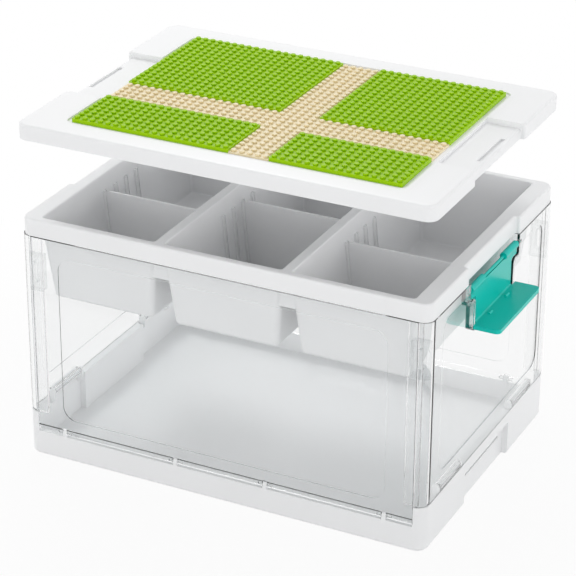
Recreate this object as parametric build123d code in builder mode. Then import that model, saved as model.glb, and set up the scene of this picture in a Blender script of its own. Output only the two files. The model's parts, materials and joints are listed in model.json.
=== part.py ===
"""Storage box for building blocks.

A white base tray carries clear walls, a drop-down clear front door and a sorting tray with three
tubs. The lid has a building surface of studded plates and is shown lifted clear of its seat, and a
flip latch on each end holds it down. All sizes are in millimetres. X runs along the box, the front
faces -Y and Z is up. The origin is on the ground under the middle of the box.
"""

import os
from math import radians, tan

from build123d import *

# Overall sizes
box_length = 414.0
box_depth = 298.0
corner_radius = 11.0
base_height = 46.0
walls_height = 185.0
rim_height = 17.5
lid_thickness = 15.0
lid_raise = 78.0
overrun = 2.0
slip = 0.3

# Base tray
base_wall = 4.0
base_floor = 3.0
foot_recess = 2.0
foot_width = 14.0
base_edge_radius = 3.5
sill_height = 25.5
scoop_width = 108.0
scoop_height = 36.0
scoop_slope = 10.0
scoop_depth = 6.0
scoop_slot_width = 85.0
scoop_slot_height = 2.6
scoop_slot_level = 22.0
scoop_slot_depth = 2.5

# Clear walls and door
clear_wall = 3.0
post_flat = 0.5
door_gap = 0.4
door_top_gap = 0.5
field_depth = 0.8
field_radius = 14.0
field_side_margin = 28.0
field_top_margin = 16.0
field_bottom_margin = 19.5
end_field_side_margin = 18.0
end_field_top_margin = 10.0
end_field_bottom_margin = 22.0
stop_reach = 10.0
stop_wall = 2.4
stop_gap = 0.4

# Hinge along the lower edge of the door and of the back wall
hinge_roll_radius = 3.2
hinge_roll_gap = 0.7
hinge_end_margin = 40.0
hinge_near_place = 47.0
hinge_ear_width = 4.0
hinge_side_gap = 0.4
hinge_pin_radius = 1.2
hinge_pin_length = 14.0
running_gap = 0.05

# Hinge lugs along the lower edge of each end wall
lug_radius = 3.3
lug_rise = 4.0
lug_inset = 6.8
lug_corner_margin = 37.0
lug_length = 48.0
lug_ear_width = 2.4
lug_ear_drop = 12.0
lug_pin_radius = 1.5

# Recess in the end wall that takes the latch
pan_depth = 6.5
pan_top_width = 118.0
pan_neck_width = 92.0
pan_top_height = 19.0
pan_height = 49.0
pan_radius = 4.0
pan_shoulder_share = 0.45

# Catch blocks behind the stop flanges of the end walls
clip_width = 16.5
clip_depth = 8.0
clip_height = 36.0
clip_level = 174.0
clip_slot_width = 6.0
clip_slot_height = 22.0
clip_slot_turn = 90.0
clip_inset = 11.5
seat_gap = 0.1

# Flip latch
latch_axis_drop = 8.2
latch_axis_inset = 2.5
latch_barrel_radius = 3.6
latch_barrel_length = 30.0
latch_plate = 3.0
latch_head_width = 110.0
latch_neck_width = 86.0
latch_head_height = 9.0
latch_ledge_width = 102.0
latch_ledge_reach = 27.0
latch_ledge_thickness = 4.0
latch_ledge_radius = 5.0
latch_fillet = 1.5
latch_shoulder_radius = 3.0
latch_pin_radius = 1.5
latch_bump_radius = 1.5
latch_bump_length = 7.0
latch_bump_place = 20.0
latch_bump_inset = 5.5

# Sorting tray
tub_count = 3
tray_wall = 2.2
rim_wall = 3.0
rim_inset = 1.0
rim_edge_radius = 2.5
notch_width = 120.0
notch_depth = 4.5
notch_radius = 2.0
rim_end_width = 19.5
rim_side_width = 9.0
band_width = 10.0
tub_radius = 3.0
tub_depth = 82.5
tub_draft = 6.0
tub_floor_radius = 2.0
web_drop = 19.5
mouth_radius = 1.8

# Dividers and the slots that hold them
divider_thickness = 2.0
divider_drop = 15.5
divider_radius = 7.0
divider_gap = 0.4
divider_slots = (0, 2, 0)
slot_pitch = 20.0
slot_shares = (-1.5, -0.5, 0.5, 1.5)
slot_rib_width = 1.5
slot_rib_reach = 2.6
slot_gap = 0.15

# Lid
lid_top_wall = 3.0
lid_skirt = 3.0
lid_edge_radius = 2.5
shelf_depth = 5.0
shelf_width = 117.0
shelf_wall = 3.5
shelf_slit_width = 58.0
shelf_slit_length = 4.4
shelf_slit_depth = 2.2
shelf_edge_radius = 2.5
field_corner_radius = 8.0
field_recess = 1.6
field_gap = 5.0
key_gap = 0.6
key_wall = 1.8
key_drop = 4.0
key_reach = 24.0

# Building plates, laid out in studs
stud_pitch = 8.0
plates_long_count = 41
plates_deep_count = 30
path_plate_thickness = 1.6
garden_plate_thickness = 3.6
plate_corner_radius = 1.0
left_long_count = 20
path_count = 5
front_deep_count = 8

# Worked out from the sizes above
half_length = box_length / 2
half_depth = box_depth / 2
walls_top = base_height + walls_height
rim_top = walls_top + rim_height
lid_bottom = rim_top + lid_raise
lid_top = lid_bottom + lid_thickness
floor_top = foot_recess + base_floor
post_width = corner_radius + post_flat
opening_half = half_length - post_width
door_half = opening_half - door_gap
door_top = walls_top - door_top_gap
stop_inner = half_depth - clear_wall - stop_gap - stop_wall
hinge_level = sill_height + hinge_roll_gap + hinge_roll_radius
hinge_inset = hinge_roll_radius
hinge_far_place = half_length - hinge_end_margin
hinge_places = (-hinge_far_place, -hinge_near_place, hinge_near_place, hinge_far_place)
lug_level = base_height + lug_rise
lug_start = half_depth - lug_corner_margin - lug_length
latch_level = walls_top - latch_axis_drop
latch_axis_x = half_length - latch_axis_inset
latch_bump_x = latch_axis_x + latch_plate / 2 + latch_bump_inset
shelf_level = lid_bottom + lid_thickness - shelf_depth
closed_shelf_level = shelf_level - lid_raise
ledge_level = 2 * latch_level - closed_shelf_level - slip
tray_opening_length = box_length - 2 * rim_end_width
tray_opening_depth = box_depth - 2 * rim_side_width
tub_length = (tray_opening_length - (tub_count - 1) * band_width) / tub_count
tub_pitch = tub_length + band_width
tub_places = [(index - (tub_count - 1) / 2) * tub_pitch for index in range(tub_count)]
tub_bottom = rim_top - tub_depth
tub_floor = tub_bottom + tray_wall
draft_slope = tan(radians(tub_draft))
web_foot = walls_top - web_drop
slot_places = [share * slot_pitch for share in slot_shares]
divider_top = rim_top - divider_drop
plates_length = plates_long_count * stud_pitch
plates_depth = plates_deep_count * stud_pitch
plates_level = lid_top - field_recess


def draw_box_plan(inset=0, mode=Mode.ADD):
    """Draw the rounded plan of the box, drawn in on all sides by the inset, in the open sketch."""
    RectangleRounded(
        box_length - 2 * inset, box_depth - 2 * inset, corner_radius - inset, mode=mode
    )


def notched_outline(level, inset, width):
    """The plan of the box with a notch in the middle of each end, drawn in by the inset."""
    with BuildSketch(Plane.XY.offset(level)) as outline:
        draw_box_plan(inset)
        with Locations((half_length, 0), (-half_length, 0)):
            Rectangle(2 * (notch_depth + inset), width + 2 * inset, mode=Mode.SUBTRACT)
    return outline.sketch


def notch_edges(part):
    """The upright edges of the notches in the ends of a part, which get rounded."""
    return part.edges().filter_by(Axis.Z).filter_by(lambda e: abs(e.center().Y) < notch_width)


def side_plane(place):
    """A plane across the Y axis: its X runs along the box, its Y is up and it faces the front."""
    return Plane(origin=(0, place, 0), x_dir=(1, 0, 0), z_dir=(0, -1, 0))


def cross_plane(place):
    """A plane across the X axis: its X runs from front to back and its Y is up."""
    return Plane(origin=(place, 0, 0), x_dir=(0, 1, 0), z_dir=(1, 0, 0))


def end_plane(place, facing):
    """A plane whose Y is up, through a place on the X axis, that faces outwards at that end."""
    return Plane(origin=(place, 0, 0), x_dir=(0, facing, 0), z_dir=(facing, 0, 0))


def lug_outline(place, facing):
    """The side view of a round hinge lug that reaches back to the inside of the end wall."""
    with BuildSketch(side_plane(place)) as outline:
        with Locations((facing * (half_length - lug_inset), lug_level)):
            Circle(lug_radius)
        with Locations((facing * (half_length - lug_inset / 2 - clear_wall / 2), lug_level)):
            Rectangle(lug_inset - clear_wall, 2 * lug_radius)
    return outline.sketch


def make_base_tray():
    """The white base: a rounded tray with lowered long sides, end scoops and hinge ears."""
    inner_wall = base_wall + scoop_depth
    with BuildPart() as base_tray:
        with BuildSketch():
            draw_box_plan()
        extrude(amount=base_height)
        fillet(base_tray.faces().sort_by(Axis.Z)[0].edges(), base_edge_radius)
        with BuildSketch(Plane.XY.offset(floor_top)):
            draw_box_plan(base_wall)
            with Locations((half_length, 0), (-half_length, 0)):
                Rectangle(2 * inner_wall, scoop_width + 2 * base_wall, mode=Mode.SUBTRACT)
        extrude(amount=base_height, mode=Mode.SUBTRACT)
        with BuildSketch():
            RectangleRounded(
                box_length - 2 * foot_width, box_depth - 2 * foot_width, corner_radius
            )
        extrude(amount=foot_recess, mode=Mode.SUBTRACT)
        # The long sides are cut down to a sill between the corners
        with BuildSketch(Plane.XY.offset(sill_height)):
            with Locations((0, half_depth), (0, -half_depth)):
                Rectangle(2 * opening_half, 2 * base_wall + 2 * overrun)
        extrude(amount=base_height, mode=Mode.SUBTRACT)
        # Scooped hand grip in each end, with a slot across it
        with BuildSketch(side_plane(0)):
            with BuildLine():
                Polyline(
                    (half_length - scoop_depth, -overrun),
                    (half_length - scoop_depth, scoop_height - scoop_slope),
                    (half_length + overrun, scoop_height + overrun),
                    (half_length + overrun, -overrun),
                    close=True,
                )
            make_face()
            mirror(about=Plane.YZ)
        extrude(amount=scoop_width / 2, both=True, mode=Mode.SUBTRACT)
        with BuildSketch(Plane.XY.offset(scoop_slot_level)):
            with Locations(
                (half_length - scoop_depth, 0), (scoop_depth - half_length, 0)
            ):
                Rectangle(2 * scoop_slot_depth, scoop_slot_width)
        extrude(amount=scoop_slot_height, mode=Mode.SUBTRACT)
        # Ears that hold the end walls' hinge pins
        ear_foot = half_length - base_wall / 2
        ear_back = half_length - lug_inset - lug_radius
        for facing in (1, -1):
            for side in (1, -1):
                for start in (lug_start - slip - lug_ear_width, lug_start + lug_length + slip):
                    middle = side * (start + lug_ear_width / 2)
                    with BuildSketch(side_plane(middle)) as ear:
                        with Locations((facing * (half_length - lug_inset), lug_level)):
                            Circle(lug_radius)
                        with BuildLine():
                            Polyline(
                                (facing * ear_back, lug_level),
                                (facing * (half_length - clear_wall - slip), lug_level),
                                (facing * (half_length - clear_wall - slip), base_height),
                                (facing * ear_foot, base_height - slip),
                                (facing * ear_foot, lug_level - lug_ear_drop - lug_radius),
                                (facing * ear_back, lug_level - lug_ear_drop + lug_radius),
                                close=True,
                            )
                        make_face()
                    extrude(amount=lug_ear_width / 2, both=True)
        for facing in (1, -1):
            with BuildSketch(side_plane(0)):
                with Locations((facing * (half_length - lug_inset), lug_level)):
                    Circle(lug_pin_radius + running_gap)
            extrude(amount=half_depth - base_wall, both=True, mode=Mode.SUBTRACT)
        # Ears on both sills that hold the pins of the door and of the back wall
        for side in (1, -1):
            axis_y = side * (half_depth - hinge_inset)
            for place in hinge_places:
                with BuildSketch(cross_plane(place)):
                    with Locations((axis_y, hinge_level)):
                        Circle(hinge_roll_radius)
                    with Locations((axis_y, (hinge_level + sill_height - hinge_roll_radius) / 2)):
                        Rectangle(
                            2 * hinge_roll_radius,
                            hinge_level - sill_height + hinge_roll_radius,
                        )
                    with Locations((axis_y, hinge_level)):
                        Circle(hinge_pin_radius + running_gap, mode=Mode.SUBTRACT)
                extrude(amount=hinge_ear_width / 2, both=True)
    base_tray.part.label = "base_tray"
    return base_tray.part


def make_long_panel(label, side):
    """A clear long side: a sheet with a pressed field and a rolled hinge edge."""
    outer = side * half_depth
    axis_y = side * (half_depth - hinge_inset)
    inner = side * (half_depth - clear_wall)
    sheet_height = door_top - hinge_level
    middle = hinge_level + sheet_height / 2
    with BuildPart() as panel:
        with BuildSketch(side_plane(inner)):
            with Locations((0, middle)):
                Rectangle(2 * door_half, sheet_height)
        extrude(amount=-side * clear_wall)
        with BuildSketch(cross_plane(0)):
            with Locations((axis_y, hinge_level)):
                Circle(hinge_roll_radius)
        extrude(amount=door_half, both=True)
        # Pressed field with rounded corners
        field_bottom = sill_height + field_bottom_margin
        field_top = walls_top - field_top_margin
        with BuildSketch(side_plane(outer)):
            with Locations((0, (field_bottom + field_top) / 2)):
                RectangleRounded(
                    2 * (door_half - field_side_margin), field_top - field_bottom, field_radius
                )
        extrude(amount=side * field_depth, mode=Mode.SUBTRACT)
        # Gaps for the base's ears, and bores for the pins
        gap_width = hinge_ear_width + 2 * hinge_side_gap
        gap_top = hinge_level + hinge_roll_radius + hinge_roll_gap
        with BuildSketch(side_plane(outer + side * overrun)):
            for place in hinge_places:
                with Locations((place, (gap_top + sill_height) / 2)):
                    Rectangle(gap_width, gap_top - sill_height)
        extrude(amount=side * (2 * hinge_roll_radius + 2 * overrun), mode=Mode.SUBTRACT)
        pin_room = hinge_pin_length / 2 + slip
        for place in hinge_places:
            with BuildSketch(cross_plane(place)):
                with Locations((axis_y, hinge_level)):
                    Circle(hinge_pin_radius + running_gap)
            extrude(amount=pin_room, both=True, mode=Mode.SUBTRACT)
    panel.part.label = label
    return panel.part


def pan_outline(plane, grow):
    """The latch's recess: wide under the rim and narrower below, and open at the top."""
    head_room = pan_radius + grow + overrun
    shoulder = (pan_top_width - pan_neck_width) / 2
    with BuildSketch(plane) as outline:
        with Locations((0, walls_top + (head_room - pan_top_height - grow) / 2)):
            Rectangle(pan_top_width + 2 * grow, pan_top_height + grow + head_room)
        with Locations((0, walls_top + (head_room - pan_height - grow) / 2)):
            Rectangle(pan_neck_width + 2 * grow, pan_height + grow + head_room)
        fillet(outline.vertices(), min(pan_radius, pan_shoulder_share * shoulder))
    return outline.sketch


def make_end_wall(label, facing):
    """A clear end wall: rounded posts, stop flanges, a pressed field, a latch recess and lugs."""
    outer = facing * half_length
    with BuildPart() as wall:
        with BuildSketch(Plane.XY.offset(base_height)):
            draw_box_plan()
            draw_box_plan(clear_wall, mode=Mode.SUBTRACT)
            with Locations((facing * (half_length - post_width / 2), 0)):
                Rectangle(post_width, box_depth, mode=Mode.INTERSECT)
        extrude(amount=walls_height)
        # Stop flanges behind the upright edges of the door and of the back wall
        stop_x = facing * (opening_half + (clear_wall - stop_reach) / 2)
        step_x = facing * (opening_half + clear_wall / 2)
        step_depth = half_depth - clear_wall / 2 - stop_inner
        with BuildSketch(Plane.XY.offset(base_height)):
            for side in (1, -1):
                with Locations((stop_x, side * (stop_inner + stop_wall / 2))):
                    Rectangle(clear_wall + stop_reach, stop_wall)
                with Locations((step_x, side * (stop_inner + step_depth / 2))):
                    Rectangle(clear_wall, step_depth)
        extrude(amount=walls_height)
        # Pressed field with rounded corners
        field_bottom = base_height + end_field_bottom_margin
        field_top = walls_top - end_field_top_margin
        with BuildSketch(end_plane(outer, facing)):
            with Locations((0, (field_bottom + field_top) / 2)):
                RectangleRounded(
                    2 * (half_depth - corner_radius - end_field_side_margin),
                    field_top - field_bottom,
                    field_radius,
                )
        extrude(amount=-field_depth, mode=Mode.SUBTRACT)
        # Recess for the latch, stepped into the wall
        extrude(pan_outline(end_plane(outer, facing), clear_wall), amount=-pan_depth - clear_wall)
        extrude(
            pan_outline(end_plane(facing * (half_length - pan_depth), facing), 0),
            amount=pan_depth + overrun,
            mode=Mode.SUBTRACT,
        )
        with BuildSketch(Plane.XY.offset(walls_top)):
            Rectangle(box_length + 2 * overrun, box_depth)
        extrude(amount=pan_height, mode=Mode.SUBTRACT)
        # Hinge lugs and the bores for their pins
        for side in (1, -1):
            middle = side * (lug_start + lug_length / 2)
            extrude(lug_outline(middle, facing), amount=lug_length / 2, both=True)
        with BuildSketch(side_plane(0)):
            with Locations((facing * (half_length - lug_inset), lug_level)):
                Circle(lug_pin_radius + running_gap)
        extrude(amount=lug_start + lug_length, both=True, mode=Mode.SUBTRACT)
        with BuildSketch(side_plane(0)):
            with Locations((facing * latch_axis_x, latch_level)):
                Circle(latch_pin_radius + running_gap)
        extrude(amount=pan_top_width / 2 + 2 * clear_wall, both=True, mode=Mode.SUBTRACT)
    wall.part.label = label
    return wall.part


def make_corner_clip(label, facing, side):
    """A catch block on the inside of a stop flange, with a pill-shaped slot through it."""
    clip_x = facing * (half_length - clip_inset)
    clip_y = side * (stop_inner - seat_gap - clip_depth / 2)
    with BuildPart() as clip:
        with BuildSketch(Plane.XY.offset(clip_level)):
            draw_box_plan(clear_wall + seat_gap)
            with Locations((clip_x, clip_y)):
                Rectangle(clip_width, clip_depth, mode=Mode.INTERSECT)
        extrude(amount=clip_height)
        with BuildSketch(side_plane(side * half_depth)):
            with Locations((clip_x, clip_level + clip_height / 2)):
                SlotOverall(clip_slot_height, clip_slot_width, rotation=clip_slot_turn)
        extrude(amount=2 * side * (clear_wall + clip_depth), mode=Mode.SUBTRACT)
    clip.part.label = label
    return clip.part


def make_pin(label, plane, place, radius, length):
    """A plain hinge pin that stands across a plane, half of it to each side."""
    with BuildPart() as pin:
        with BuildSketch(plane):
            with Locations(place):
                Circle(radius)
        extrude(amount=length / 2, both=True)
    pin.part.label = label
    return pin.part


def make_hinge_pins():
    """The pins of the door, of the back wall and of both end walls."""
    pins = []
    for name, side in (("door", -1), ("back", 1)):
        axis = (side * (half_depth - hinge_inset), hinge_level)
        for count, place in enumerate(hinge_places, start=1):
            label = f"{name}_hinge_pin_{count}"
            pins.append(
                make_pin(label, cross_plane(place), axis, hinge_pin_radius, hinge_pin_length)
            )
    lug_pin_length = lug_length + 2 * slip + 2 * lug_ear_width
    for end_name, facing in (("left", -1), ("right", 1)):
        axis = (facing * (half_length - lug_inset), lug_level)
        for side_name, side in (("front", -1), ("back", 1)):
            label = f"end_hinge_pin_{end_name}_{side_name}"
            plane = side_plane(side * (lug_start + lug_length / 2))
            pins.append(make_pin(label, plane, axis, lug_pin_radius, lug_pin_length))
    return pins


def make_latch(label, facing):
    """A flip latch, shown hanging open: two barrels, a waisted plate and a wide ledge."""
    plate_inner = latch_axis_x - latch_plate / 2
    plate_outer = latch_axis_x + latch_plate / 2
    plate_top = latch_level - latch_pin_radius - 2 * slip
    ledge_foot = ledge_level - latch_ledge_thickness
    head_foot = latch_level - latch_head_height
    with BuildPart() as latch:
        with BuildSketch(end_plane(facing * plate_inner, facing)) as plate:
            with Locations((0, (plate_top + ledge_foot) / 2)):
                Rectangle(latch_neck_width, plate_top - ledge_foot)
            with Locations((0, (plate_top + head_foot) / 2)):
                Rectangle(latch_head_width, plate_top - head_foot)
            shoulders = plate.vertices().filter_by(
                lambda v: abs(v.Y - head_foot) < slip and abs(v.X) < latch_head_width / 2 - slip
            )
            fillet(shoulders, latch_shoulder_radius)
        extrude(amount=latch_plate)
        for side in (1, -1):
            middle = side * (latch_head_width - latch_barrel_length) / 2
            with BuildSketch(side_plane(middle)):
                with Locations((facing * latch_axis_x, latch_level)):
                    Circle(latch_barrel_radius)
            extrude(amount=latch_barrel_length / 2, both=True)
        # Ledge: narrow inside the recess, wide outside the wall
        wide_start = half_length + 2 * slip
        ledge_end = plate_outer + latch_ledge_reach
        with BuildSketch(Plane.XY.offset(ledge_foot)) as ledge:
            with Locations((facing * (plate_inner + ledge_end) / 2, 0)):
                Rectangle(ledge_end - plate_inner, latch_neck_width)
            with Locations((facing * (wide_start + ledge_end) / 2, 0)):
                Rectangle(ledge_end - wide_start, latch_ledge_width)
            fillet(
                ledge.vertices().filter_by(lambda v: abs(v.X) > ledge_end - slip),
                latch_ledge_radius,
            )
        extrude(amount=latch_ledge_thickness)
        inner_corner = latch.edges().filter_by(Axis.Y).filter_by(
            lambda e: abs(e.center().Z - ledge_level) < slip
            and abs(abs(e.center().X) - plate_outer) < slip
        )
        fillet(inner_corner, latch_fillet)
        # Small ribs that click into the slit of the lid's shelf
        for place in (-latch_bump_place, latch_bump_place):
            with BuildSketch(side_plane(place)):
                with Locations((facing * latch_bump_x, ledge_level)):
                    Circle(latch_bump_radius)
            extrude(amount=latch_bump_length / 2, both=True)
        with BuildSketch(side_plane(0)):
            with Locations((facing * latch_axis_x, latch_level)):
                Circle(latch_pin_radius + running_gap)
        extrude(amount=latch_head_width, both=True, mode=Mode.SUBTRACT)
    latch.part.label = label
    return latch.part


def tub_half_width(level):
    """Half of a tub's inside width, which narrows with the draft below the rim."""
    return tub_length / 2 - (rim_top - level) * draft_slope


def make_tub_block(grow, depth):
    """A drafted block as deep as a tub, with a rounded foot, grown on all sides."""
    with BuildPart() as block:
        for level in (rim_top, rim_top - depth):
            shrink = grow - (rim_top - level) * draft_slope
            with BuildSketch(Plane.XY.offset(level)):
                RectangleRounded(
                    tub_length + 2 * shrink, tray_opening_depth + 2 * shrink, tub_radius + grow
                )
        loft(ruled=True)
        fillet(block.faces().sort_by(Axis.Z)[0].edges(), tub_floor_radius + grow)
    return block.part


def make_sorting_tray():
    """The sorting tray: a hollow rim that rests on the walls, with three tapered tubs."""
    outer_block = make_tub_block(tray_wall, tub_depth)
    inner_block = make_tub_block(0, tub_depth - tray_wall)
    tub_centres = [(place, 0, 0) for place in tub_places]
    with BuildPart() as tray:
        extrude(notched_outline(walls_top, rim_inset, notch_width), amount=rim_height)
        fillet(notch_edges(tray), notch_radius)
        fillet(tray.faces().sort_by(Axis.Z)[-1].edges(), rim_edge_radius)
        extrude(
            notched_outline(walls_top, rim_inset + rim_wall, notch_width),
            amount=rim_height - rim_wall,
            mode=Mode.SUBTRACT,
        )
        # Tubs, joined at the front and at the back by a web across each gap
        with Locations(*tub_centres):
            add(outer_block)
        web_place = tray_opening_depth / 2 - (rim_top - web_foot) * draft_slope
        web_length = tub_pitch - 2 * tub_half_width(web_foot)
        web_height = rim_top - rim_wall - web_foot
        for side in (1, -1):
            with BuildSketch(side_plane(side * web_place)):
                for left, right in zip(tub_places, tub_places[1:]):
                    with Locations(((left + right) / 2, web_foot + web_height / 2)):
                        Rectangle(web_length, web_height)
            extrude(amount=tray_wall / 2, both=True)
        with Locations(*tub_centres):
            add(inner_block, mode=Mode.SUBTRACT)
        mouths = tray.faces().sort_by(Axis.Z)[-1].inner_wires()
        fillet([edge for wire in mouths for edge in wire.edges()], mouth_radius)
        # Pairs of ribs that make the slots for the dividers
        rib_offset = divider_thickness / 2 + slot_gap + slot_rib_width / 2
        rib_places = [slot + side * rib_offset for slot in slot_places for side in (1, -1)]
        rib_root = tray_wall / 2
        for rib_place in rib_places:
            with BuildSketch(side_plane(rib_place)):
                for tub in tub_places:
                    for end in (1, -1):
                        with BuildLine():
                            Polyline(
                                (tub + end * (tub_half_width(divider_top) + rib_root), divider_top),
                                (
                                    tub + end * (tub_half_width(divider_top) - slot_rib_reach),
                                    divider_top,
                                ),
                                (
                                    tub + end * (tub_half_width(tub_floor) - slot_rib_reach),
                                    tub_floor,
                                ),
                                (tub + end * (tub_half_width(tub_floor) + rib_root), tub_floor),
                                close=True,
                            )
                        make_face()
            extrude(amount=slot_rib_width / 2, both=True)
    tray.part.label = "sorting_tray"
    return tray.part


def make_divider(label, tub, slot):
    """A lift-out divider that stands in one pair of slots and splits a tub in two."""
    top_half = tub_half_width(divider_top) - divider_gap
    foot_half = tub_half_width(tub_floor) - divider_gap
    with BuildPart() as divider:
        with BuildSketch(side_plane(slot)) as face:
            with BuildLine():
                Polyline(
                    (tub - top_half, divider_top),
                    (tub + top_half, divider_top),
                    (tub + foot_half, tub_floor),
                    (tub - foot_half, tub_floor),
                    close=True,
                )
            make_face()
            fillet(face.vertices().sort_by(Axis.Y)[-2:], divider_radius)
            fillet(face.vertices().sort_by(Axis.Y)[:2], tub_floor_radius)
        extrude(amount=divider_thickness / 2, both=True)
    divider.part.label = label
    return divider.part


def make_lid():
    """The lid: a hollow cap with a plate field, a shelf for each latch and four corner keys."""
    inside_height = lid_thickness - lid_top_wall
    shelf_start = plates_length / 2 + field_gap
    shelf_end = half_length - notch_depth
    with BuildPart() as lid:
        extrude(notched_outline(lid_bottom, 0, shelf_width), amount=lid_thickness)
        fillet(notch_edges(lid), notch_radius)
        fillet(lid.faces().sort_by(Axis.Z)[-1].edges(), lid_edge_radius)
        extrude(
            notched_outline(lid_bottom, lid_skirt, shelf_width),
            amount=inside_height,
            mode=Mode.SUBTRACT,
        )
        # Corner keys that drop into the mouths of the outer tubs
        keys_length = tray_opening_length - 2 * key_gap
        keys_depth = tray_opening_depth - 2 * key_gap
        with BuildSketch(Plane.XY.offset(lid_bottom - key_drop)):
            RectangleRounded(keys_length, keys_depth, tub_radius)
            RectangleRounded(
                keys_length - 2 * key_wall,
                keys_depth - 2 * key_wall,
                tub_radius - key_wall,
                mode=Mode.SUBTRACT,
            )
            Rectangle(keys_length - 2 * key_reach, box_depth, mode=Mode.SUBTRACT)
            Rectangle(box_length, keys_depth - 2 * key_reach, mode=Mode.SUBTRACT)
        extrude(amount=key_drop + inside_height)
        # Shelves that the latches' ledges close on
        block_start = shelf_start - shelf_wall
        with BuildSketch(Plane.XY.offset(shelf_level - shelf_wall)):
            for facing in (1, -1):
                with Locations((facing * (block_start + shelf_end - lid_skirt / 2) / 2, 0)):
                    Rectangle(
                        shelf_end - lid_skirt / 2 - block_start, shelf_width + 2 * lid_skirt
                    )
        extrude(amount=lid_bottom + inside_height - shelf_level + shelf_wall)
        with BuildSketch(Plane.XY.offset(shelf_level)):
            for facing in (1, -1):
                with Locations((facing * (shelf_start + half_length) / 2, 0)):
                    Rectangle(half_length - shelf_start, shelf_width)
        extrude(amount=lid_thickness, mode=Mode.SUBTRACT)
        # Rounded lip at the outer end of each shelf
        with BuildSketch(side_plane(0)):
            for facing in (1, -1):
                round_x = facing * (shelf_end - shelf_edge_radius)
                round_z = shelf_level - shelf_edge_radius
                lip = shelf_edge_radius + slip
                with Locations((round_x + facing * lip / 2, round_z + lip / 2)):
                    Rectangle(lip, lip)
                with Locations((round_x, round_z)):
                    Circle(shelf_edge_radius, mode=Mode.SUBTRACT)
        extrude(amount=shelf_width / 2, both=True, mode=Mode.SUBTRACT)
        with BuildSketch(Plane.XY.offset(shelf_level)):
            for facing in (1, -1):
                with Locations((facing * (2 * latch_axis_x - latch_bump_x), 0)):
                    Rectangle(shelf_slit_length, shelf_slit_width)
        extrude(amount=-shelf_slit_depth, mode=Mode.SUBTRACT)
        # Field that the building plates lie in
        with BuildSketch(Plane.XY.offset(plates_level)):
            RectangleRounded(
                plates_length + 2 * field_gap, plates_depth + 2 * field_gap, field_corner_radius
            )
        extrude(amount=lid_thickness, mode=Mode.SUBTRACT)
    lid.part.label = "lid"
    return lid.part


def draw_plate(first_stud, stud_counts):
    """Draw a plate in the open sketch, placed and sized in studs from the front-left corner."""
    length, depth = [count * stud_pitch for count in stud_counts]
    left = first_stud[0] * stud_pitch - plates_length / 2
    front = first_stud[1] * stud_pitch - plates_depth / 2
    with Locations((left + length / 2, front + depth / 2)):
        RectangleRounded(length, depth, plate_corner_radius)


def make_building_plates():
    """A path plate in the shape of a cross, and a thicker garden plate in each of its corners."""
    right_start = left_long_count + path_count
    back_start = front_deep_count + path_count
    columns = {
        "left": (0, left_long_count),
        "right": (right_start, plates_long_count - right_start),
    }
    rows = {
        "front": (0, front_deep_count),
        "back": (back_start, plates_deep_count - back_start),
    }
    with BuildPart() as path_plate:
        with BuildSketch(Plane.XY.offset(plates_level)):
            draw_plate((left_long_count, 0), (path_count, plates_deep_count))
            draw_plate((0, front_deep_count), (plates_long_count, path_count))
        extrude(amount=path_plate_thickness)
    path_plate.part.label = "path_plate"
    plates = [path_plate.part]
    for row_name, (row_start, row_count) in rows.items():
        for column_name, (column_start, column_count) in columns.items():
            with BuildPart() as plate:
                with BuildSketch(Plane.XY.offset(plates_level)):
                    draw_plate((column_start, row_start), (column_count, row_count))
                extrude(amount=garden_plate_thickness)
            plate.part.label = f"garden_plate_{row_name}_{column_name}"
            plates.append(plate.part)
    return plates


def make_all():
    """Every piece of the box in its place."""
    pieces = [
        make_base_tray(),
        make_long_panel("front_door", -1),
        make_long_panel("back_wall", 1),
        make_sorting_tray(),
        make_lid(),
    ]
    for end_name, facing in (("left", -1), ("right", 1)):
        pieces.append(make_end_wall(f"end_wall_{end_name}", facing))
        pieces.append(make_latch(f"latch_{end_name}", facing))
        latch_axis = (facing * latch_axis_x, latch_level)
        latch_pin_length = pan_top_width + 2 * clear_wall
        pieces.append(
            make_pin(
                f"latch_pin_{end_name}",
                side_plane(0),
                latch_axis,
                latch_pin_radius,
                latch_pin_length,
            )
        )
        for side_name, side in (("front", -1), ("back", 1)):
            pieces.append(make_corner_clip(f"corner_clip_{side_name}_{end_name}", facing, side))
    pieces.extend(make_hinge_pins())
    for name, tub, slot in zip(("left", "middle", "right"), tub_places, divider_slots):
        pieces.append(make_divider(f"divider_{name}", tub, slot_places[slot]))
    pieces.extend(make_building_plates())
    return pieces


os.makedirs("parts", exist_ok=True)
for piece in make_all():
    export_step(piece, f"parts/{piece.label}.step")
    print(piece.label, "solids", len(piece.solids()), "volume", round(piece.volume))
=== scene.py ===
# %% [markdown]
# # A clear-walled storage box with a studded lid
#
# The box has a white base, clear walls, a white sorting tray with three tubs, a teal latch at each
# end and a white lid that is shown lifted. The lid carries studded plates to build on. The rigid
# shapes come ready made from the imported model, in metres. This lesson gives them their finishes,
# adds the studs, and sets up the studio and the camera.

# %% Load the model
import json
from math import cos, pi, radians, sin

import bmesh
import bpy
from mathutils import Matrix, Vector


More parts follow.
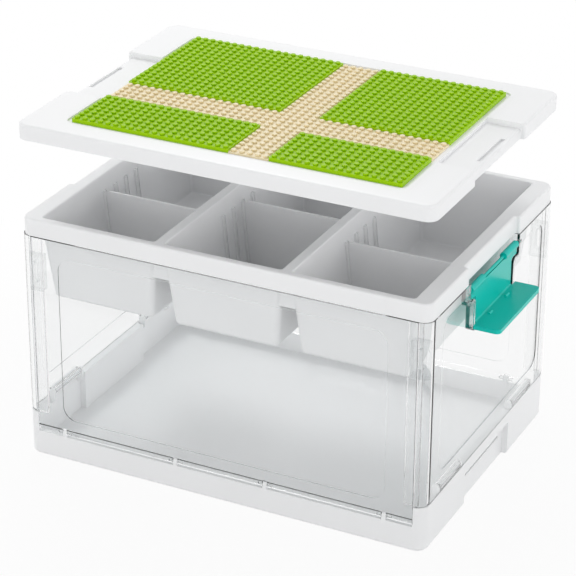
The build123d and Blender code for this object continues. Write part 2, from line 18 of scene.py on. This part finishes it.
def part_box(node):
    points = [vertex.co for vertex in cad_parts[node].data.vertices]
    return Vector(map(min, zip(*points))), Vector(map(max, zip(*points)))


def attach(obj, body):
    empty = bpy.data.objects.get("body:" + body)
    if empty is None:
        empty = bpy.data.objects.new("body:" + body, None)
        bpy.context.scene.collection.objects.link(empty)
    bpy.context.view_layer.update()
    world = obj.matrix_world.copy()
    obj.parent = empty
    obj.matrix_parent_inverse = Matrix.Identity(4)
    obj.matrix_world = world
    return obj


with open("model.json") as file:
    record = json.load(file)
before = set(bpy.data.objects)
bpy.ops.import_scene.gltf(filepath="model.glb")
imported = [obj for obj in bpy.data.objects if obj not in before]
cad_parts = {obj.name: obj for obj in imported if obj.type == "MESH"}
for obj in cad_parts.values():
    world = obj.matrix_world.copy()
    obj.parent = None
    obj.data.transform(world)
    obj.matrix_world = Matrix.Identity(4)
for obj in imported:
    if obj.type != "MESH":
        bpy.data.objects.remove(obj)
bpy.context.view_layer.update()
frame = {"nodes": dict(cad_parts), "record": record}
nodes = frame["nodes"]

# %% [markdown]
# ## Writing shader maths as plain sums
#
# A finish is a small network of nodes. Wired one by one in the editor it is slow to read, so one
# class wraps an output socket and turns sums on it into Math nodes. A second class holds a
# material's network and has one method that adds any other node.


# %% Sums on sockets
class Wire:
    """An output socket that can be used in sums."""

    def __init__(self, finish, socket):
        self.finish = finish
        self.socket = socket

    def maths(self, operation, first, second):
        return self.finish.add("ShaderNodeMath", {"operation": operation}, {0: first, 1: second})

    def __add__(self, other):
        return self.maths("ADD", self, other)

    def __radd__(self, other):
        return self.maths("ADD", other, self)

    def __sub__(self, other):
        return self.maths("SUBTRACT", self, other)

    def __rsub__(self, other):
        return self.maths("SUBTRACT", other, self)

    def __mul__(self, other):
        return self.maths("MULTIPLY", self, other)

    def __rmul__(self, other):
        return self.maths("MULTIPLY", other, self)

    def __pow__(self, other):
        return self.maths("POWER", self, other)

    def __rpow__(self, other):
        return self.maths("POWER", other, self)


# %% The network behind a finish
class Finish:
    """The network of nodes behind one material, or behind the world."""

    def __init__(self, owner):
        owner.use_nodes = True
        self.owner = owner
        self.tree = owner.node_tree
        self.tree.nodes.clear()

    def add(self, kind, settings=None, inputs=None, out=0):
        """Add a node: its settings first, then the values or links of its sockets."""
        node = self.tree.nodes.new(kind)
        for name, value in (settings or {}).items():
            setattr(node, name, value)
        for name, value in (inputs or {}).items():
            socket = self.pick(node.inputs, name)
            if isinstance(value, Wire):
                self.tree.links.new(value.socket, socket)
            else:
                socket.default_value = value
        return Wire(self, self.pick(node.outputs, out)) if len(node.outputs) else node

    @staticmethod
    def pick(sockets, name):
        """A socket by its number, or by its name among those that are in use."""
        if isinstance(name, int):
            return sockets[name]
        return next(socket for socket in sockets if socket.name == name and socket.enabled)


# %% [markdown]
# ## Moulded plastic
#
# The base, the tray, the lid, the plates and the latches are injection moulded in a polished steel
# mould. Such a surface is glossy but never a perfect mirror: it carries a very shallow, broad
# ripple from the way the plastic cools, and its gloss and its shade drift a little from place to
# place. A picture of the surface would repeat and blur close up, so one broad noise gives all
# three instead: a faint bump, a little on the roughness and a touch of a second shade.

# %% The finish of moulded plastic
RIPPLE_PER_METRE = 14.0
RIPPLE_HEIGHT = 0.0004
RIPPLE_STRENGTH = 0.2
RIPPLE_DETAIL = 1.0
GLOSS_DRIFT = 0.08
SHADE_DRIFT = 0.03
PLASTIC_IOR = 1.5


def moulded_plastic(name, colour, roughness, shine=0.5):
    finish = Finish(bpy.data.materials.new(name))
    place = finish.add("ShaderNodeTexCoord", out="Object")
    ripple = finish.add(
        "ShaderNodeTexNoise",
        {},
        {"Vector": place, "Scale": RIPPLE_PER_METRE, "Detail": RIPPLE_DETAIL},
    )
    bump = finish.add(
        "ShaderNodeBump",
        {},
        {"Strength": RIPPLE_STRENGTH, "Distance": RIPPLE_HEIGHT, "Height": ripple},
    )
    darker = [channel * (1 - SHADE_DRIFT) for channel in colour]
    shade = finish.add(
        "ShaderNodeMix",
        {"data_type": "RGBA"},
        {"Factor": ripple, "A": (*colour, 1.0), "B": (*darker, 1.0)},
        out="Result",
    )
    shader = finish.add(
        "ShaderNodeBsdfPrincipled",
        {},
        {
            "Base Color": shade,
            "Roughness": ripple * GLOSS_DRIFT + (roughness - GLOSS_DRIFT / 2),
            "IOR": PLASTIC_IOR,
            "Specular IOR Level": shine,
            "Normal": bump,
        },
    )
    finish.add("ShaderNodeOutputMaterial", {}, {"Surface": shader})
    return finish.owner


# %% Mix the four colours
white_plastic = moulded_plastic("white_plastic", colour=(0.895, 0.9, 0.908), roughness=0.32)
teal_plastic = moulded_plastic(
    "teal_plastic", colour=(0.0005, 0.56, 0.48), roughness=0.22, shine=0.25
)
lime_plastic = moulded_plastic(
    "lime_plastic", colour=(0.35, 0.62, 0.004), roughness=0.25, shine=0.12
)
sand_plastic = moulded_plastic(
    "sand_plastic", colour=(0.88, 0.76, 0.50), roughness=0.28, shine=0.4
)
print("four moulded finishes: white, teal, lime and sand")

# %% [markdown]
# ## Clear plastic
#
# The walls are thick clear sheet. Glass that bends light shows the bright and dark edges of such a
# sheet by itself, and a Volume Absorption node greys the light that runs a long way inside it, as
# it does towards an edge. Glass would also throw a dark, grainy shadow into the box. A Mix Shader
# lets the rays that carry light to matt surfaces pass straight through, as clear plastic nearly
# does, and keeps the glass for what the camera and the gloss see.

# %% The clear finish
SHEET_TINT = (0.998, 0.999, 0.999, 1.0)
SHEET_ROUGHNESS = 0.02
SHEET_IOR = 1.5
PASS_TINT = (0.97, 0.975, 0.975, 1.0)
BODY_TINT = (0.65, 0.67, 0.68, 1.0)
BODY_DENSITY = 20.0


def clear_sheet():
    finish = Finish(bpy.data.materials.new("clear_plastic"))
    shadow_ray = finish.add("ShaderNodeLightPath", out="Is Shadow Ray")
    matt_ray = finish.add("ShaderNodeLightPath", out="Is Diffuse Ray")
    sheet = finish.add(
        "ShaderNodeBsdfPrincipled",
        {},
        {
            "Base Color": SHEET_TINT,
            "Roughness": SHEET_ROUGHNESS,
            "IOR": SHEET_IOR,
            "Transmission Weight": 1.0,
        },
    )
    passed = finish.add("ShaderNodeBsdfTransparent", {}, {"Color": PASS_TINT})
    mixed = finish.add(
        "ShaderNodeMixShader", {}, {0: shadow_ray + matt_ray, 1: sheet, 2: passed}
    )
    body = finish.add(
        "ShaderNodeVolumeAbsorption", {}, {"Color": BODY_TINT, "Density": BODY_DENSITY}
    )
    finish.add("ShaderNodeOutputMaterial", {}, {"Surface": mixed, "Volume": body})
    return finish.owner


wall_plastic = clear_sheet()
print("clear plastic for the door and the walls")

# %% [markdown]
# The corner clips and the hinge pins of the door and the back wall sit behind or inside the clear
# walls. Seen through so many sheets, glass turns into noise, so these small pieces let light
# straight through and only grey over where their surface turns away from the eye, which the Layer
# Weight node tells. That grey is painted shade: it stands in for the dark edges that bent light
# gives clear plastic, and leaves the pieces pale with thin outlines, as they are on the real box.

# %% The small clear pieces
EDGE_SHARE = 0.5
FACE_SHARE = 0.05
EDGE_POWER = 3.0
EDGE_BLEND = 0.5
SMALL_TINT = (0.98, 0.985, 0.985, 1.0)
# The edge grey is painted shade, laid over where the surface turns away, in place of the dark
# edges that bent light gives glass.
PAINTED_EDGE_SHADE = (0.45, 0.47, 0.48, 1.0)
EDGE_ROUGHNESS = 0.1
small = Finish(bpy.data.materials.new("small_clear_plastic"))
turned_away = small.add("ShaderNodeLayerWeight", {}, {"Blend": EDGE_BLEND}, out="Facing")
painted_edge_share = turned_away**EDGE_POWER * EDGE_SHARE + FACE_SHARE
passed = small.add("ShaderNodeBsdfTransparent", {}, {"Color": SMALL_TINT})
grey = small.add(
    "ShaderNodeBsdfPrincipled", {}, {"Base Color": PAINTED_EDGE_SHADE, "Roughness": EDGE_ROUGHNESS}
)
mixed = small.add("ShaderNodeMixShader", {}, {0: painted_edge_share, 1: passed, 2: grey})
small.add("ShaderNodeOutputMaterial", {}, {"Surface": mixed})
small_clear_plastic = small.owner
print("small clear pieces grey over by up to", EDGE_SHARE + FACE_SHARE)

# %% [markdown]
# ## Dressing the model
#
# The model's record names the kind of plastic of every rigid piece. The pieces could be picked one
# by one instead, but that would be a second list to keep up. The finish goes into the piece's
# material slot, and its mesh stays as it is. Only the clear clips and pins differ: they take the
# finish of the small pieces.

# %% Give every piece of the model its finish
finishes = {
    "white_plastic": white_plastic,
    "clear_plastic": wall_plastic,
    "teal_plastic": teal_plastic,
    "lime_plastic": lime_plastic,
    "sand_plastic": sand_plastic,
}
for row in frame["record"]["subparts"]:
    piece = nodes[row["node"]]
    finish = finishes[row["material_slot"]]
    if finish == wall_plastic and ("clip" in row["node"] or "pin" in row["node"]):
        finish = small_clear_plastic
    piece.data.materials.clear()
    piece.data.materials.append(finish)

# %% [markdown]
# ## Studs
#
# The plates on the lid are made to build on: they carry rows of small round studs, 8 mm apart.
# There are over a thousand, so each plate gets all of its studs as one mesh. An Array modifier
# could repeat one stud too, but not leave out those under a higher plate. A stud is a short
# cylinder whose rim is rounded in a few steps, and that round rim is what catches the light.

# %% The shape of one stud
STUD_PITCH = 0.008
STUD_RADIUS = 0.00245
STUD_HEIGHT = 0.0019
STUD_RIM = 0.0004
STUD_RIM_STEPS = 3
STUD_SIDES = 20


def stud_profile():
    """The radius and height of each ring of a stud: its foot, then the round of its rim."""
    profile = [(STUD_RADIUS, 0.0)]
    for step in range(STUD_RIM_STEPS + 1):
        turn = pi / 2 * step / STUD_RIM_STEPS
        radius = STUD_RADIUS - STUD_RIM * (1 - cos(turn))
        profile.append((radius, STUD_HEIGHT - STUD_RIM * (1 - sin(turn))))
    return profile


def add_stud(mesh, centre):
    rings = []
    for radius, height in stud_profile():
        ring = []
        for step in range(STUD_SIDES):
            turn = 2 * pi * step / STUD_SIDES
            offset = Vector((radius * cos(turn), radius * sin(turn), height))
            ring.append(mesh.verts.new(centre + offset))
        rings.append(ring)
    for lower, upper in zip(rings, rings[1:]):
        for step in range(STUD_SIDES):
            after = (step + 1) % STUD_SIDES
            face = mesh.faces.new((lower[step], lower[after], upper[after], upper[step]))
            face.smooth = True
    mesh.faces.new(rings[-1])
    mesh.faces.new(list(reversed(rings[0])))


print("a stud has", len(stud_profile()), "rings of", STUD_SIDES, "points")


# %% Cover a plate with studs
def make_studs(plate, covers):
    """Cover a plate with studs, except where one of the covers lies on it."""
    low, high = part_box(plate)
    columns = round((high[0] - low[0]) / STUD_PITCH)
    rows = round((high[1] - low[1]) / STUD_PITCH)
    mesh = bmesh.new()
    count = 0
    for column in range(columns):
        for row in range(rows):
            x = low[0] + (column + 0.5) * STUD_PITCH
            y = low[1] + (row + 0.5) * STUD_PITCH
            if any(a[0] < x < b[0] and a[1] < y < b[1] for a, b in covers):
                continue
            add_stud(mesh, Vector((x, y, high[2])))
            count += 1
    data = bpy.data.meshes.new(f"studs_{plate}")
    mesh.to_mesh(data)
    mesh.free()
    studs = bpy.data.objects.new(f"studs_{plate}", data)
    bpy.context.collection.objects.link(studs)
    print(plate, "carries", count, "studs")
    return studs


# %% Stud the plates
garden_plates = [name for name in nodes if name.startswith("garden_plate")]
garden_boxes = [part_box(name) for name in garden_plates]
for plate in ["path_plate"] + garden_plates:
    covers = garden_boxes if plate == "path_plate" else []
    slot = "sand_plastic" if plate == "path_plate" else "lime_plastic"
    studs = make_studs(plate, covers)
    studs.data.materials.append(finishes[slot])
    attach(studs, "lid")

# %% [markdown]
# ## The floor
#
# The box stands on a white sweep with no horizon. The floor shows as white to the camera and in
# reflections. Near the box it is mixed with a plain matt floor, which keeps the soft shadow, and
# the matt share fades out by 0.6 m from the middle. The Light Path node tells which ray asks, and
# the room further down uses the same answer.


# %% Which rays see the studio as white
def seen_ray(finish):
    """1 for the camera's rays and for what gloss and clear sheet show."""
    camera = finish.add("ShaderNodeLightPath", out="Is Camera Ray")
    glossy = finish.add("ShaderNodeLightPath", out="Is Glossy Ray")
    through = finish.add("ShaderNodeLightPath", out="Is Transmission Ray")
    seen = camera + glossy + through
    return finish.add("ShaderNodeMath", {"operation": "MINIMUM"}, {0: seen, 1: 1.0})


# %% The floor
FLOOR_HALF = 6.0
SHADOW_SHARE = 0.07
SHADOW_START = 0.25
SHADOW_END = 0.6
FLOOR_DROP = 0.0005
MATT_FLOOR = (0.75, 0.75, 0.75, 1.0)
WHITE = (1.0, 1.0, 1.0, 1.0)
floor_data = bpy.data.meshes.new("floor")
corners = [(-1, -1), (1, -1), (1, 1), (-1, 1)]
points = [(FLOOR_HALF * x, FLOOR_HALF * y, -FLOOR_DROP) for x, y in corners]
floor_data.from_pydata(points, [], [(0, 1, 2, 3)])
floor = bpy.data.objects.new("floor", floor_data)
bpy.context.collection.objects.link(floor)
sweep = Finish(bpy.data.materials.new("floor"))
matt = sweep.add("ShaderNodeBsdfDiffuse", {}, {"Color": MATT_FLOOR})
glow = sweep.add("ShaderNodeEmission", {}, {"Color": WHITE, "Strength": 1.0})
place = sweep.add("ShaderNodeTexCoord", out="Object")
distance = sweep.add("ShaderNodeVectorMath", {"operation": "LENGTH"}, {0: place}, out="Value")
matt_share = sweep.add(
    "ShaderNodeMapRange",
    {"interpolation_type": "SMOOTHSTEP"},
    {
        "Value": distance,
        "From Min": SHADOW_START,
        "From Max": SHADOW_END,
        "To Min": SHADOW_SHARE,
        "To Max": 0.0,
    },
)
surface = sweep.add(
    "ShaderNodeMixShader", {}, {0: seen_ray(sweep) * (1.0 - matt_share), 1: matt, 2: glow}
)
sweep.add("ShaderNodeOutputMaterial", {}, {"Surface": surface})
floor_data.materials.append(sweep.owner)
print("the floor keeps", SHADOW_SHARE, "of the shadow")

# %% [markdown]
# ## The light
#
# The room itself gives most of the light, as the sides of a white tent do: it is brightest low
# down and dimmer overhead, so that the light also reaches the tubs through the gap under the
# raised lid. A lamp high behind the box whitens the tops, leaves the upright faces a shade darker
# and gives each stud a bright and a dark side. A weak lamp on the right fills in.

# %% The light of the room
SIDE_LIGHT = 2.15
OVERHEAD_LIGHT = 0.64
OVERHEAD_START = 0.5
world = bpy.data.worlds.new("studio")
bpy.context.scene.world = world
room = Finish(world)
direction = room.add("ShaderNodeTexCoord", out="Generated")
height = room.add("ShaderNodeSeparateXYZ", {}, {"Vector": direction}, out="Z")
tent_light = room.add(
    "ShaderNodeMapRange",
    {},
    {
        "Value": height,
        "From Min": 0.0,
        "From Max": OVERHEAD_START,
        "To Min": SIDE_LIGHT,
        "To Max": OVERHEAD_LIGHT,
    },
)
seen = seen_ray(room)
strength = seen + (1.0 - seen) * tent_light
background = room.add("ShaderNodeBackground", {}, {"Color": WHITE, "Strength": strength})
room.add("ShaderNodeOutputWorld", {}, {"Surface": background})
print("the room gives", SIDE_LIGHT, "from the sides and", OVERHEAD_LIGHT, "from above")


# %% Lamps
def add_lamp(name, place, target, size, watts):
    data = bpy.data.lights.new(name, "AREA")
    data.size = size
    data.energy = watts
    lamp = bpy.data.objects.new(name, data)
    bpy.context.collection.objects.link(lamp)
    lamp.location = place
    lamp.rotation_euler = (Vector(target) - Vector(place)).to_track_quat("-Z", "Y").to_euler()


BOX_MIDDLE = (0.0, 0.0, 0.18)
add_lamp("key", place=(-0.8, 1.3, 1.7), target=BOX_MIDDLE, size=0.6, watts=11.0)
add_lamp("fill", place=(2.0, -0.7, 0.9), target=BOX_MIDDLE, size=1.2, watts=1.5)
print("two lamps aim at", BOX_MIDDLE)

# %% [markdown]
# ## The camera
#
# The camera was fitted to the edges of the box: it looks down at 26 degrees, from 26 degrees round
# to the right of the front, with a long lens.

# %% Place the camera
CAMERA_TURN = radians(26.21)
CAMERA_DIP = radians(26.08)
CAMERA_ROLL = radians(0.30)
CAMERA_PLACE = (0.9051, -1.8451, 1.1619)
LENS_MM = 149.75
SIGHT_END = 50.0

forward = Vector(
    (-sin(CAMERA_TURN) * cos(CAMERA_DIP), cos(CAMERA_TURN) * cos(CAMERA_DIP), -sin(CAMERA_DIP))
)
level = Vector((cos(CAMERA_TURN), sin(CAMERA_TURN), 0.0))
upward = level.cross(forward)
right = cos(CAMERA_ROLL) * level + sin(CAMERA_ROLL) * upward
upward = right.cross(forward)
turn = Matrix((right, upward, -forward)).transposed()
camera_data = bpy.data.cameras.new("camera")
camera_data.lens = LENS_MM
camera_data.clip_end = SIGHT_END
camera = bpy.data.objects.new("camera", camera_data)
bpy.context.collection.objects.link(camera)
camera.matrix_world = Matrix.Translation(CAMERA_PLACE) @ turn.to_4x4()
bpy.context.scene.camera = camera
bpy.context.scene.view_settings.view_transform = "Standard"
print("camera at", CAMERA_PLACE)
